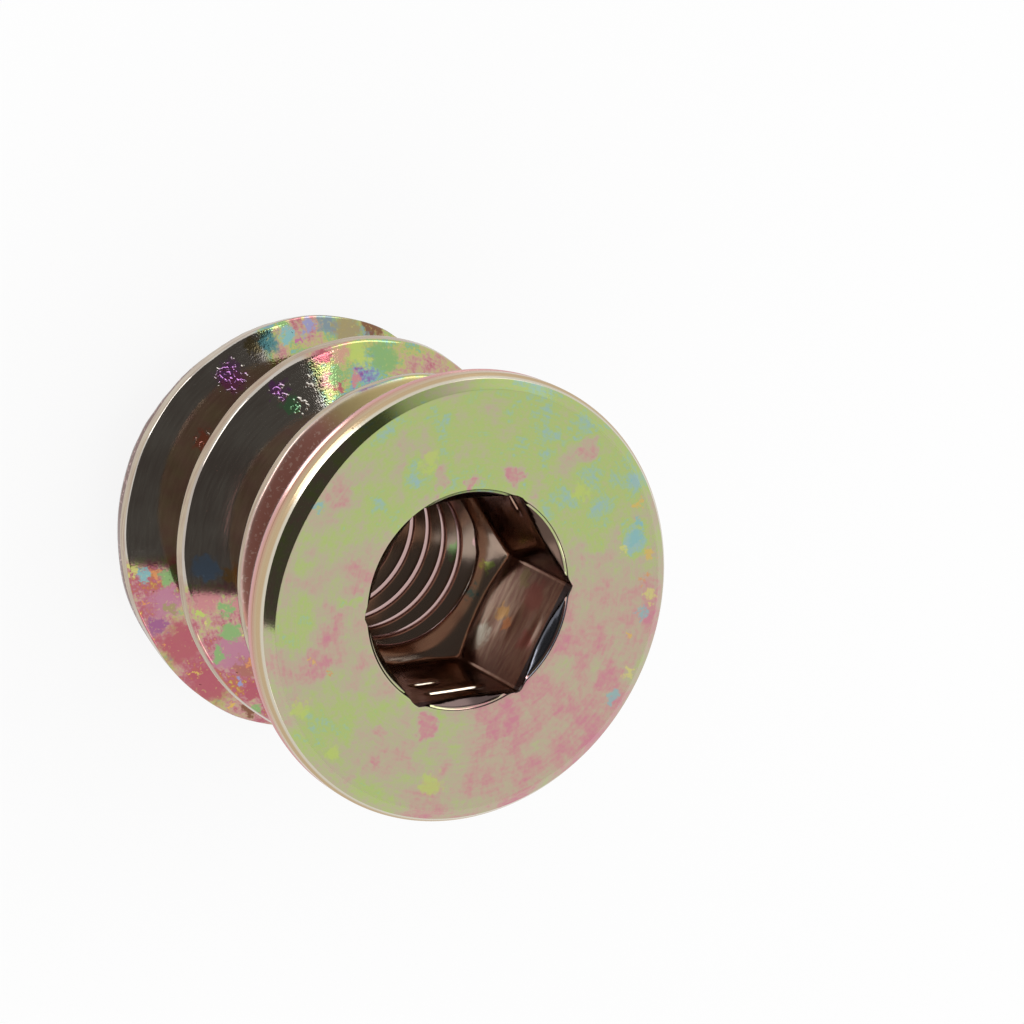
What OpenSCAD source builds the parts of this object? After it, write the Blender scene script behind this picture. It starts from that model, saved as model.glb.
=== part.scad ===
// Hex-drive threaded insert for wood: a flanged steel nut with a coarse knife
// thread outside and an M6 thread inside. One turned and threaded piece.
// It stands on its pilot end at z = 0, with its axis on Z and its flange on top.

/* [Overall] */
// Length from the pilot end to the flange face
length = 13; // [11:0.5:25]

/* [Flange] */
// Diameter of the flange
flange_d = 13.6; // [12.8:0.1:18]
// Height of the flange rim, with its bevel
rim_h = 0.75; // [0.5:0.05:1.1]
// Width of the bevel round the flange face
bevel_w = 0.42; // [0.1:0.02:0.8]
// Depth of the bevel round the flange face
bevel_h = 0.2; // [0.05:0.01:0.35]
// Height of the cone under the flange rim
flange_cone_h = 1.0; // [0.6:0.05:1.6]
// Length of the plain neck between the flange cone and the thread
neck_w = 0.3; // [0.2:0.05:0.6]
// How much deeper the neck is turned than the thread groove, so that the groove runs out into air
neck_undercut = 0.08; // [0.05:0.01:0.2]
// Slope of the neck's wall on the thread side, in mm along the axis per mm out
neck_wall_slope = 0.38; // [0.2:0.02:0.7]

/* [Wood thread] */
// Outside diameter of the wood thread, where it is widest
thread_d = 12.7; // [11.8:0.1:13.2]
// Diameter at the bottom of the thread groove
core_d = 7.9; // [7.5:0.1:8.6]
// Pitch of the wood thread
pitch = 3.21; // [2.7:0.01:4]
// Width of the flat land along the crest
land_w = 0.45; // [0.25:0.05:0.8]
// Width of the flat at the bottom of the groove, between its fillets
root_w = 0.3; // [0.1:0.05:0.6]
// Fillet radius at the bottom of the groove
root_r = 0.5; // [0.2:0.05:0.8]
// Crest diameter halfway from the widest crest to the neck
middle_d = 11.8; // [10.9:0.05:12.8]
// Crest diameter where the thread runs out at the neck
runout_d = 11.3; // [10.6:0.05:12.2]
// Diameter of the pilot end
pilot_d = 8.6; // [8:0.1:9.6]
// Edge break round the pilot end's face
pilot_edge = 0.12; // [0.05:0.01:0.2]
// Length of the plain rim at the pilot end
pilot_rim_h = 0.35; // [0.1:0.05:0.8]
// Length of the chamfer that starts the thread
pilot_chamfer_h = 1.85; // [1:0.05:2.4]
// Crest diameter at the end of that chamfer
lead_d = 12.1; // [11:0.1:12.6]
// Length of the shallow cone from there to the widest crest
lead_h = 1.4; // [0.4:0.1:2.4]
// Angle at which a crest rises out of the pilot end
start_angle = 205; // [0:1:359]
// Angle over which the groove rises out of the steel at the neck
fade_angle = 70; // [30:5:120]

/* [Hexagon socket] */
// Width across the flats, for a 6 mm hexagon key
socket_af = 6.02; // [5.8:0.01:6.2]
// Depth of the socket, from the flange face to the foot of its corners
socket_depth = 3.75; // [2.5:0.05:4.5]
// Diameter of the countersink at the socket's mouth
socket_mouth_d = 6.5; // [6.3:0.05:6.9]
// Point angle of the drill that leaves the socket's floor
drill_angle = 118; // [90:1:140]

/* [Machine thread] */
// Minor diameter of the M6 thread
bore_d = 5.0; // [4.9:0.01:5.2]
// Diameter of the plain relief at the pilot end
relief_d = 6.3; // [6.1:0.05:6.6]
// Depth of the plain relief, with its rounded entry
relief_l = 1.3; // [0.9:0.1:3]
// Radius of the rounded entry at the pilot end
entry_r = 0.5; // [0.2:0.05:0.7]
// Height of the cone between the relief and the thread
relief_cone_h = 0.5; // [0.3:0.05:1]

/* [Hidden] */
$fn = 96;
// degrees turned for each facet along the helix
step_angle = 6;
eps = 0.05;

thread_r = thread_d / 2;
core_r = core_d / 2;
neck_r = core_r - neck_undercut;
neck_top = length - rim_h - flange_cone_h;
neck_foot = neck_top - neck_w;
neck_mid = neck_foot + neck_w / 2;
shoulder_z = neck_foot - (runout_d / 2 - neck_r) * neck_wall_slope;
chamfer_top = pilot_rim_h + pilot_chamfer_h;
widest_z = chamfer_top + lead_h;
middle_z = (widest_z + shoulder_z) / 2;
// how the crest comes in from its widest turn to the neck, as [height, radius]
crest_line = [[widest_z, thread_r], [middle_z, middle_d / 2], [shoulder_z, runout_d / 2]];

// half of the groove's section, as [along the axis, radius], from its middle outward:
// the root flat, a fillet and a straight flank that reaches the crest's edge
crest_s = (pitch - land_w) / 2;
// the flank leans so that it leaves the fillet as a tangent and meets the crest's edge
function flank_lean(a, n) = n == 0 ? a :
    flank_lean(atan((crest_s - root_w / 2 - root_r * tan((90 - a) / 2)) / (thread_r - core_r)), n - 1);
flank_angle = flank_lean(26, 24);
flank_slope = tan(flank_angle);
// the cutter stands proud of the crest, but by less than would make its turns meet
over = 0.35 * land_w / flank_slope;
fillet_turn = 90 - flank_angle;
half_section = [
    for (i = [0:3]) let (a = fillet_turn * i / 3)
        [root_w / 2 + root_r * sin(a), core_r + root_r * (1 - cos(a))],
    [crest_s + over * flank_slope, thread_r + over]
];
section = concat(
    [for (i = [len(half_section) - 1:-1:0]) [-half_section[i][0], half_section[i][1]]],
    half_section
);

// the groove's path: it enters below the pilot end, climbs one pitch a turn, then stays level
// with the neck and rises out
groove_zero = start_angle + 180;
lead_in = 0.3;
groove_start = groove_zero - 360 * (crest_s + over * flank_slope + lead_in) / pitch;
groove_end = groove_zero + 360 * neck_mid / pitch;
groove_steps = ceil((groove_end + fade_angle - groove_start) / step_angle);
function groove_at(i) = groove_start + (groove_end + fade_angle - groove_start) * i / groove_steps;
function groove_z(a) = min(neck_mid, pitch * (a - groove_zero) / 360);
// past the widest crest the blank tapers in: the groove's bottom stays level and its flanks
// open with the taper, so that the crest keeps the same land
function groove_scale(z) = (lookup(z, crest_line) - core_r) / (thread_r - core_r);
// the fade starts before the level run, so that the groove leaves the crest without a step
function groove_rise(a) = (thread_r - core_r + over) *
    pow(max(0, a - groove_end + fade_angle * 0.2) / (fade_angle * 1.2), 1.6);

module groove_cutter() {
    m = len(section);
    points = [
        for (i = [0:groove_steps])
            let (a = groove_at(i), z = groove_z(a), out = groove_rise(a), k = groove_scale(z))
                for (p = section)
                    let (r = core_r + (p[1] - core_r) * k + out)
                        [r * cos(a), r * sin(a), z + p[0]]
    ];
    sides = [
        for (i = [0:groove_steps - 1]) for (j = [0:m - 1])
            let (k = (j + 1) % m, p = i * m + j, q = i * m + k, r = p + m, s = q + m)
                each [[p, r, s], [p, s, q]]
    ];
    ends = [[for (j = [0:m - 1]) j], [for (j = [m - 1:-1:0]) groove_steps * m + j]];
    polyhedron(points = points, faces = concat(sides, ends), convexity = 12);
}

// the blank under the flange: pilot rim, chamfer, shallow cone, taper down to the neck, and neck
module shank_blank() {
    rotate_extrude()
        polygon(concat(
            [
                [0, 0],
                [pilot_d / 2 - pilot_edge, 0],
                [pilot_d / 2, pilot_edge],
                [pilot_d / 2, pilot_rim_h],
                [lead_d / 2, chamfer_top]
            ],
            [for (p = crest_line) [p[1], p[0]]],
            [
                [neck_r, neck_foot],
                [neck_r, length - rim_h],
                [0, length - rim_h]
            ]
        ));
}

module shank() {
    difference() {
        shank_blank();
        groove_cutter();
    }
}

// flange: cone under the rim, rim, and bevel round the flat face
module flange() {
    rotate_extrude()
        polygon([
            [0, neck_top - eps],
            [neck_r - eps, neck_top - eps],
            [neck_r, neck_top],
            [flange_d / 2, length - rim_h],
            [flange_d / 2, length - bevel_h],
            [flange_d / 2 - bevel_w, length],
            [0, length]
        ]);
}

// hexagon socket with a drill-point floor and a countersunk mouth
module socket_cut() {
    floor_slope = 1 / tan(drill_angle / 2);
    corner_r = socket_af / 2 / cos(30);
    floor_z = length - socket_depth - corner_r * floor_slope;
    reach = corner_r + 1;
    intersection() {
        translate([0, 0, floor_z])
            cylinder(h = length - floor_z + 1, d = 2 * corner_r, $fn = 6);
        rotate_extrude()
            polygon([
                [0, floor_z],
                [reach, floor_z + reach * floor_slope],
                [reach, length + 1],
                [0, length + 1]
            ]);
    }
    mouth_h = (socket_mouth_d - socket_af) / 2;
    translate([0, 0, length - mouth_h])
        cylinder(h = mouth_h + eps, d1 = socket_af, d2 = socket_mouth_d + 2 * eps);
}

// through bore, with the plain relief and its rounded entry at the pilot end
module bore_cut() {
    translate([0, 0, -1])
        cylinder(h = length + 2, d = bore_d);
    rotate_extrude()
        polygon(concat(
            [[0, -eps], [relief_d / 2 + entry_r, -eps]],
            [for (i = [0:6]) let (a = 90 * i / 6)
                [relief_d / 2 + entry_r * (1 - sin(a)), entry_r * (1 - cos(a))]],
            [
                [relief_d / 2, relief_l],
                [bore_d / 2 - eps, relief_l + relief_cone_h],
                [0, relief_l + relief_cone_h]
            ]
        ));
}

module insert() {
    color([0.80, 0.72, 0.45])
        difference() {
            union() {
                shank();
                flange();
            }
            socket_cut();
            bore_cut();
        }
}

insert();
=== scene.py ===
# %% [markdown]
# # A threaded insert for wood, in yellow passivated steel
# The part is one piece of steel, 13 mm long: a flange with a hexagon socket, a coarse knife thread
# outside and an M6 thread inside. The CAD model gives its form, its size and its place. Here it
# gets what a machine and a plating bath leave on it: rounded edges, turned and broached marks, the
# fine inner thread, and a thin film that shimmers from straw to green, pink and violet.

# %% Load the CAD frame
import math
from functools import cached_property

import bmesh
import bpy
import numpy as np
from mathutils import Matrix, Vector


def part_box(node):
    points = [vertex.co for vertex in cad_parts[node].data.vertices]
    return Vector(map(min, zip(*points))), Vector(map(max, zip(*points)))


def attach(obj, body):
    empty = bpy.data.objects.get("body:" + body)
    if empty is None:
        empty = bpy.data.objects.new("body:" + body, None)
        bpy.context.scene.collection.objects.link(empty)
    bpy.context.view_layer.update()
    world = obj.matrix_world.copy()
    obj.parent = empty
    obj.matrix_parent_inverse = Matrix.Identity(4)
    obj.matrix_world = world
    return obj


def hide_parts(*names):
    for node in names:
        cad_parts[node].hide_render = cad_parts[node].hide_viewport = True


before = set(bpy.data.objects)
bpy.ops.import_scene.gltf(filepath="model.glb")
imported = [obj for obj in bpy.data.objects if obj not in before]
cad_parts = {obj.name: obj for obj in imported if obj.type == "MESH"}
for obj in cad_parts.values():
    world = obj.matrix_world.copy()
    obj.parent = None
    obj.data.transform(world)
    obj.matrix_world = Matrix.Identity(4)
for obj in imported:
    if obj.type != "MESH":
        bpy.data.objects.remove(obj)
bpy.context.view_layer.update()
low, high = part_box("insert")
print("insert", [round(1000 * (b - a), 2) for a, b in zip(low, high)], "mm")

# %% [markdown]
# ## Sizes
# A turned part is drawn by its radii and its lengths. The overall ones come from the CAD box, so
# the mesh follows if the insert is made longer or wider. The others are the sizes on the drawing.
# All are in millimetres, because the details are tenths of one, and turn into metres at the end.

# %% Sizes of the insert
MM = 0.001
length = (high.z - low.z) / MM
flange_r = (high.x - low.x) / 2 / MM

rim_h, bevel_w, bevel_h, flange_cone_h = 0.75, 0.42, 0.2, 1.0
neck_w, neck_wall_slope = 0.3, 0.38
lead_r, thread_r, middle_r, runout_r, core_r, neck_r = 6.08, 6.35, 5.90, 5.65, 3.95, 3.87
pitch, land_w, root_w, root_fillet = 3.21, 0.45, 0.3, 0.5
pilot_r, pilot_rim_h, pilot_chamfer_h, lead_h, pilot_edge = 4.3, 0.35, 1.85, 1.4, 0.12
start_angle, fade_angle = 205, 70

hex_flat_r, socket_depth, mouth_r, drill_angle = 3.01, 3.75, 3.25, 118
bore_r, relief_r, relief_l, entry_r, relief_cone_h = 2.5, 3.15, 1.3, 0.5, 0.5
print("length", round(length, 2), "flange radius", round(flange_r, 2))

# %% [markdown]
# ## Rounding
# Nothing that has been turned, tumbled and plated has a sharp edge, and an edge shows because its
# rounding catches the light. Where two surfaces meet, a smooth minimum rounds the corner between
# them: it equals the smaller of the two, apart from a narrow stretch where it blends. The smooth
# maximum is the same thing for a hollow.

# %% Smooth minimum and maximum
def soft_min(a, b, width):
    share = np.clip(0.5 + 0.5 * (b - a) / width, 0, 1)
    return b * (1 - share) + a * share - width * share * (1 - share)


def soft_max(a, b, width):
    return -soft_min(-a, -b, width)


print("a corner is cut back by", -float(soft_min(0, 0, 1)), "of the width of its blend")

# %% [markdown]
# ## The outer thread as a field
# A thread could be swept along a helix and joined to a cylinder, but the joint would need a
# boolean, and its edges would stay sharp. Here the shank is one height field instead: for any angle
# and height it says how far out the steel reaches. That is the turned blank, less the groove of
# each turn, and the soft minimum between them rounds the crest's edges.

# %% Section of the groove
crest_s = (pitch - land_w) / 2


def flank_lean():
    """The angle at which the flank leaves the fillet as a tangent and meets the crest's edge."""
    lean = math.radians(26)
    for _ in range(24):
        reach = crest_s - root_w / 2 - root_fillet * math.tan((math.pi / 2 - lean) / 2)
        lean = math.atan(reach / (thread_r - core_r))
    return lean


flank = flank_lean()
fillet_s = root_w / 2 + root_fillet * math.cos(flank)
fillet_top = core_r + root_fillet * (1 - math.sin(flank))


def groove_section(s):
    """Radius of the groove's wall at distance s along the axis from its middle."""
    in_fillet = np.clip(s - root_w / 2, 0, root_fillet * math.cos(flank))
    fillet = core_r + root_fillet - np.sqrt(root_fillet ** 2 - in_fillet ** 2)
    return np.where(s < fillet_s, fillet, fillet_top + (s - fillet_s) / math.tan(flank))


print("flanks lean", round(math.degrees(flank), 1), "degrees")

# %% Path of the groove
neck_top = length - rim_h - flange_cone_h
neck_foot = neck_top - neck_w
neck_mid = neck_foot + neck_w / 2
shoulder_z = neck_foot - (runout_r - neck_r) * neck_wall_slope
chamfer_top = pilot_rim_h + pilot_chamfer_h
widest_z = chamfer_top + lead_h
crest_line = [widest_z, (widest_z + shoulder_z) / 2, shoulder_z], [thread_r, middle_r, runout_r]
groove_zero = start_angle + 180
LEAD_IN_TURNS = 0.8
groove_start = groove_zero - 360 * LEAD_IN_TURNS
groove_end = groove_zero + 360 * neck_mid / pitch
NO_CUT = 99.0
# The groove starts to rise by this share of the fade angle early, and ends above the crest
FADE_EARLY, FADE_POWER, FADE_LIFT = 0.2, 1.6, 1.1
# How far the crest above a groove reaches down toward it, at the groove's height: the first crest
# was left wide by the lead cone, and the later ones are thinner than the drawing's land
land_at = [0.5, 0.85, 1.52, 1.66, 3.0, 3.9, 5.0, 7.0, 8.3]
land_more = [0.15, 0.50, 0.50, 0.04, 0.0, -0.06, -0.08, -0.17, -0.20]


def groove_radius(degrees, z):
    """The deepest cut that any turn of the groove makes at this angle and height."""
    depth = np.full(np.broadcast(degrees, z).shape, NO_CUT)
    for turn in range(math.ceil((groove_end + fade_angle) / 360)):
        a = degrees + 360 * turn
        middle = np.minimum(neck_mid, pitch * (a - groove_zero) / 360)
        fade = (a - groove_end + FADE_EARLY * fade_angle) / ((1 + FADE_EARLY) * fade_angle)
        rise = (thread_r - core_r) * FADE_LIFT * np.clip(fade, 0, None) ** FADE_POWER
        scale = (np.interp(middle, *crest_line) - core_r) / (thread_r - core_r)
        s = z - middle
        s = np.abs(s) + np.interp(middle, land_at, land_more) * np.clip(s / crest_s, 0, 1) ** 2
        cut = core_r + (groove_section(s) - core_r) * scale + rise
        inside = (a >= groove_start) & (a <= groove_end + fade_angle)
        depth = np.minimum(depth, np.where(inside, cut, NO_CUT))
    return depth


print("groove runs", round((groove_end - groove_start) / 360, 2), "turns")

# %% The shank
CREST_EDGE = 0.14
# On one side the first crest stands out further
SWELL, SWELL_SIDE, SWELL_SPREAD, SWELL_TOP, SWELL_FADE = 0.11, 172, 42, 3.4, 0.6
SWELL_FROM_R, WAVES_FROM_R = 5, neck_r + 0.3
# Crests aren't quite round: the height of a wave, how often it goes round, how it climbs
WAVES = [(0.010, 7, 1.3), (0.008, 17, -2)]


def shank_radius(degrees, z):
    """The turned blank, less the groove."""
    stations = [0, pilot_rim_h, chamfer_top, *crest_line[0], neck_foot, neck_top]
    radii = [pilot_r, pilot_r, lead_r, *crest_line[1], neck_r, neck_r]
    blank = np.interp(z, stations, radii)
    swell = SWELL * np.exp(-((degrees % 360 - SWELL_SIDE) / SWELL_SPREAD) ** 2)
    swell = swell * np.clip((SWELL_TOP - z) / SWELL_FADE, 0, 1)
    blank = blank + swell * (blank > SWELL_FROM_R)
    wobble = sum(size * np.sin(np.radians(count * degrees) + climb * z)
                 for size, count, climb in WAVES)
    blank = blank + wobble * (blank > WAVES_FROM_R)
    return soft_min(blank, groove_radius(degrees, z), CREST_EDGE)


widest = shank_radius(np.arange(360), widest_z).max()
print("shank is", round(float(widest), 2), "mm in radius where it is widest")

# %% [markdown]
# ## The bore as a field
# The inside is one height field too. From the top down it is the countersunk mouth, the broached
# hexagon, the drill point under it, the M6 thread, and the plain relief at the pilot end. Each is
# the larger or the smaller of two simple radii.

# %% The hexagon and the machine thread
M6_PITCH, M6_CREST, M6_FLANK = 1.0, 0.115, math.tan(math.radians(30))
M6_START, M6_ROOT_R, TAP_MOUTH_R = 0.75, 3.02, 2.95
M6_CREST_EDGE, M6_ROOT_EDGE = 0.05, 0.06
HEX_TURN = 5 / 3
floor_slope = 1 / math.tan(math.radians(drill_angle / 2))
floor_z = length - socket_depth - hex_flat_r / math.cos(math.radians(30)) * floor_slope


def hexagon_radius(degrees):
    from_flat = np.radians(((degrees + HEX_TURN) % 60) - 30)
    return hex_flat_r / np.cos(from_flat)


def m6_radius(degrees, z):
    phase = (z - M6_START) / M6_PITCH - degrees / 360
    s = np.abs(phase - np.round(phase)) * M6_PITCH
    wall = bore_r + np.clip(s - M6_CREST, 0, None) / M6_FLANK
    wall = soft_max(wall, np.full_like(wall, bore_r), M6_CREST_EDGE)
    return soft_min(wall, np.full_like(wall, M6_ROOT_R), M6_ROOT_EDGE)


print("drill point at", round(floor_z, 2), "mm")

# %% Mouth and corners of the socket
MOUTH_MORE, MOUTH_OFF_AXIS = 0.085, 0.03
OPEN_CORNER, NICKED_CORNERS, NICK_SPREAD, NICK = -10, (182, 242), 8, 0.5
CORNER_MORE, CORNER_OPENS, CORNER_SLOPE = 0.09, 0.16, 0.6


def mouth_radius(degrees):
    """The countersink's edge on the face. It sits a little off the axis."""
    return mouth_r + MOUTH_MORE + MOUTH_OFF_AXIS * np.sin(np.radians(degrees))


def corner_limit(degrees, z):
    """Countersinking closed the corners again near the face. One stayed open, two show as nicks."""
    nicked = sum(np.exp(-((degrees - corner) / NICK_SPREAD) ** 2) for corner in NICKED_CORNERS)
    sharp = np.maximum(np.cos(np.radians(degrees - OPEN_CORNER)), NICK * nicked)
    return mouth_r + CORNER_MORE + CORNER_OPENS * sharp + CORNER_SLOPE * (length - z)


edge = corner_limit(np.array([OPEN_CORNER, *NICKED_CORNERS]), length)
print("the open corner and the nicks reach", [round(float(r), 2) for r in edge], "mm out")

# %% Chatter marks of the broach
UPPER_LEDGE, LOWER_LEDGE = 11.86, 10.88
# The middle of a mark round the axis, half of its width in degrees, the height of its ledge
CHATTER = [(270, 17, UPPER_LEDGE), (262, 9, LOWER_LEDGE), (48, 8, UPPER_LEDGE)]
CHATTER_DEPTH, SIDE_FADE, LEDGE_HALF, MARK_TOP, MARK_FADE = 0.09, 3, 0.04, 0.28, 0.2


def chatter(degrees, z):
    """Small steps across the flats, each with a ledge that looks up."""
    depth = np.zeros(np.broadcast(degrees, z).shape)
    for middle, half, level in CHATTER:
        inside = np.clip((half - np.abs(degrees - middle)) / SIDE_FADE, 0, 1)
        rise = np.clip((z - level + LEDGE_HALF) / (2 * LEDGE_HALF), 0, 1)
        fall = np.clip((level + MARK_TOP - z) / MARK_FADE, 0, 1)
        depth = depth + CHATTER_DEPTH * inside * rise * fall
    return depth


print(len(CHATTER), "chatter marks")

# %% The whole bore
HEX_EDGE, DRILL_EDGE, RELIEF_EDGE, TAP_EDGE = 0.03, 0.08, 0.06, 0.10


def socket_radius(degrees, z):
    """The countersunk mouth, the hexagon, and the drill point that ends it."""
    hexagon = soft_min(hexagon_radius(degrees), corner_limit(degrees, z), HEX_EDGE)
    cone = mouth_radius(degrees) - (length - z)
    mouth = soft_max(hexagon + chatter(degrees, z), cone, HEX_EDGE)
    drilled = (z - floor_z) / floor_slope
    return soft_min(mouth, drilled, DRILL_EDGE)


def bore_radius(degrees, z):
    """The socket, the machine thread under it, and the relief at the pilot end."""
    relief = relief_r - np.clip(z - relief_l, 0, None) * (relief_r - bore_r) / relief_cone_h
    tap_mouth = TAP_MOUTH_R - np.clip(floor_z + TAP_MOUTH_R * floor_slope - z, 0, None)
    wall = soft_max(m6_radius(degrees, z), np.maximum(relief, tap_mouth), RELIEF_EDGE)
    return soft_max(wall, socket_radius(degrees, z), TAP_EDGE)


print("bore from", 2 * bore_r, "mm in the thread to", 2 * relief_r, "mm at the pilot end")

# %% [markdown]
# ## Rows that follow the thread
# A mesh of level rows would cross the crest at a slant and leave it jagged. So in the threads the
# rows climb with the helix, and each row stays on its crest, flank or root. After one turn a row
# has climbed one pitch, so it joins the row one pitch further up. Rows that would leave the
# thread's stretch are held at its end, where they fall together and are merged.

# %% The mesh under construction
COLUMNS = 216
angles = np.arange(COLUMNS) * 360 / COLUMNS


class Shell:
    """Vertices and faces of the closed skin, in cylinder coordinates until it is done."""

    def __init__(self):
        self.points, self.faces, self.count = [], [], 0

    def grid(self, radius, z, climb=0):
        """Adds rows x COLUMNS points. After a turn, a row joins the one that is climb rows up."""
        rows = z.shape[0]
        a = np.radians(np.broadcast_to(angles, z.shape))
        self.points.append(np.stack([radius * np.cos(a), radius * np.sin(a), z], -1).reshape(-1, 3))
        row, col = np.meshgrid(np.arange(rows - 1), np.arange(COLUMNS), indexing="ij")
        over = col == COLUMNS - 1
        right = (col + 1) % COLUMNS
        here = np.minimum(row + over * climb, rows - 1)
        above = np.minimum(row + 1 + over * climb, rows - 1)
        quads = np.stack([row * COLUMNS + col, here * COLUMNS + right,
                          above * COLUMNS + right, (row + 1) * COLUMNS + col], -1)
        self.faces.append(quads.reshape(-1, 4) + self.count)
        self.count += rows * COLUMNS


def ring(field, h):
    """A level ring of a field: its radius at each column, and its height."""
    return field(angles, np.full(COLUMNS, h)), h


def ring_rows(rings):
    """Turns (radius, z) pairs, each a number or one value per column, into two grids."""
    radius = np.stack([np.broadcast_to(r, COLUMNS) for r, _ in rings])
    z = np.stack([np.broadcast_to(h, COLUMNS) for _, h in rings])
    return radius, z


HOLD = 0.012  # a row that is this near to an end is held at it


def helix_rows(pitch_mm, offsets, bottom, top):
    """Heights of rows that climb one pitch a turn, held between bottom and top."""
    turns = math.ceil((top - bottom) / pitch_mm) + 2
    phase = np.concatenate([offsets + k * pitch_mm for k in range(-2, turns)])
    first = math.floor(bottom / pitch_mm) * pitch_mm
    z = first + phase[:, None] + pitch_mm * angles[None, :] / 360
    z = np.where(z < bottom + HOLD, bottom, z)
    return np.where(z > top - HOLD, top, z)


shell = Shell()
print("columns", COLUMNS, "of", round(360 / COLUMNS, 3), "degrees")

# %% [markdown]
# ## Shank, from the pilot end to the neck
# Rows lie close together at the crest's two edges and in the fillet, where the surface turns, and
# further apart on the straight flanks.

# %% Shank rows
AT_CREST = 0.10
# Stretches from the middle of the groove to the middle of the crest: from, to, rows
STRETCHES = [(0, fillet_s, 8), (fillet_s, crest_s - AT_CREST, 9),
             (crest_s - AT_CREST, crest_s + AT_CREST, 6), (crest_s + AT_CREST, pitch / 2, 2)]


def thread_offsets():
    """Where rows lie within one pitch, counted from the middle of the groove at angle 0."""
    half = np.concatenate([np.linspace(*stretch, endpoint=False) for stretch in STRETCHES])
    both = np.concatenate([half, [pitch / 2], pitch - half[:0:-1]])
    middle = (-groove_zero / 360 * pitch) % pitch
    return np.sort((both + middle) % pitch)


shank_foot, shank_head = pilot_edge + 0.03, neck_foot
offsets = thread_offsets()
z = helix_rows(pitch, offsets, shank_foot, shank_head)
shell.grid(shank_radius(angles, z), z, climb=len(offsets))
print("shank", z.shape[0], "rows,", len(offsets), "a pitch")

# %% [markdown]
# ## Flange
# The neck, the cone under the flange, the rim, the bevel and the face are turned, so each is a
# profile of straight lines with rounded corners. One helper lays an arc into each corner.

# %% Rounded profile
SUPPORT = 0.02  # a point this far before and after each arc keeps the straight part's shading flat
ARC_STEPS = 5
PER_CORNER = ARC_STEPS + 3


def rounded(points, radii):
    """The polyline through points, with an arc of the given radius in each inner corner."""
    out = [points[0]]
    for before, corner, after, radius in zip(points, points[1:], points[2:], radii):
        corner = Vector(corner)
        to_a, to_b = Vector(before) - corner, Vector(after) - corner
        half = to_a.angle(to_b) / 2
        to_a, to_b = to_a.normalized(), to_b.normalized()
        reach = radius / math.tan(half)
        centre = corner + (to_a + to_b).normalized() * radius / math.sin(half)
        out.append(tuple(corner + to_a * (reach + SUPPORT)))
        a, b = corner + to_a * reach - centre, corner + to_b * reach - centre
        for i in range(ARC_STEPS + 1):
            out.append(tuple(centre + a.slerp(b, i / ARC_STEPS).normalized() * radius))
        out.append(tuple(corner + to_b * (reach + SUPPORT)))
    return out + [points[-1]]


print("an arc has", ARC_STEPS, "steps")

# %% Profile of the flange
rim_foot = length - rim_h
face_out = flange_r - 0.8
# The radius and the height of each corner, and how much it is rounded
PROFILE = [
    (neck_r, neck_foot, 0), (neck_r, neck_top, 0.15), (flange_r - 0.06, rim_foot - 0.28, 0.03),
    (flange_r - 0.01, rim_foot - 0.14, 0.03), (flange_r - 0.08, rim_foot - 0.04, 0.03),
    (flange_r, rim_foot + 0.12, 0.10), (flange_r, length - 0.38, 0.10),
    (flange_r - 0.13, length - 0.19, 0.06), (flange_r - bevel_w, length, 0.07),
    (face_out, length, 0)]
outline = rounded([(r, h) for r, h, _ in PROFILE], [rounding for *_, rounding in PROFILE[1:-1]])
neck_corner, rim_on = outline[1:1 + PER_CORNER], outline[1 + PER_CORNER:]

corner_h = neck_corner[0][1]
rings = [ring(shank_radius, neck_foot + (corner_h - neck_foot) * step / 4) for step in range(4)]
rings += neck_corner
under, rim_start = neck_corner[-1], rim_on[0]
rings += [(under[0] + (rim_start[0] - under[0]) * t, under[1] + (rim_start[1] - under[1]) * t)
          for t in (0.25, 0.5, 0.75)]
rings += rim_on

# The bevel was turned wider on one side
BEVEL_MORE, BEVEL_SIDE, BEVEL_SPREAD = 0.14, 145, 24
wider = BEVEL_MORE * np.exp(-((angles - BEVEL_SIDE) / BEVEL_SPREAD) ** 2)
bevel_corner = slice(-1 - PER_CORNER, -1)
rings[bevel_corner] = [(r - wider, h) for r, h in rings[bevel_corner]]
print("flange", len(rings), "rings")

# %% [markdown]
# ## Face and socket mouth
# The face runs in to the countersink. The hexagon's six corners reach past the countersink and
# notch the face, so the inner edge of the face isn't a circle, and the rows bend over to it.

# %% Face and mouth
MOUTH_EDGE = 0.04
mouth = ring(socket_radius, length)[0] + MOUTH_EDGE
for t in (0.15, 0.35, 0.55, 0.75, 0.9, 1.0):
    rings.append((face_out + (mouth - face_out) * t, length))
for t in (30, 60, 90):
    turn = math.radians(t)
    rings.append((mouth - MOUTH_EDGE * math.sin(turn), length - MOUTH_EDGE * (1 - math.cos(turn))))
shell.grid(*ring_rows(rings))
print("flange and face", len(rings), "rings")

# %% [markdown]
# ## Socket and bore
# Down to the drill point the rows share each column's own depth, so that the last one follows the
# curved line in which the flats meet the cone. Below it the rows climb with the M6 thread.

# %% Socket walls and drill point
BELOW_SOCKET, FOOT_ROUND, RUN_OVER = 0.75, 0.08, 0.02
tap_top = length - socket_depth - BELOW_SOCKET
wall_top = length - MOUTH_EDGE
wall_foot = floor_z + hexagon_radius(angles) * floor_slope + FOOT_ROUND
mouth_steps = (0, 0.02, 0.07, 0.14, 0.21, 0.27, 0.31, 0.36, 0.65)
ledge_steps = (0.28, 0.17, 0.06, 0.035, 0.01, -0.01, -0.035, -0.06)
levels = [wall_top - d for d in mouth_steps]
levels += [ledge + d for ledge in (UPPER_LEDGE, LOWER_LEDGE) for d in ledge_steps]
rows = [np.full(COLUMNS, level) for level in levels]
rows += [levels[-1] + (wall_foot - levels[-1]) * t for t in np.linspace(0.15, 1, 7)]
rows += [wall_foot + (tap_top + RUN_OVER - wall_foot) * t for t in np.linspace(0.12, 1, 9)]
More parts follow.
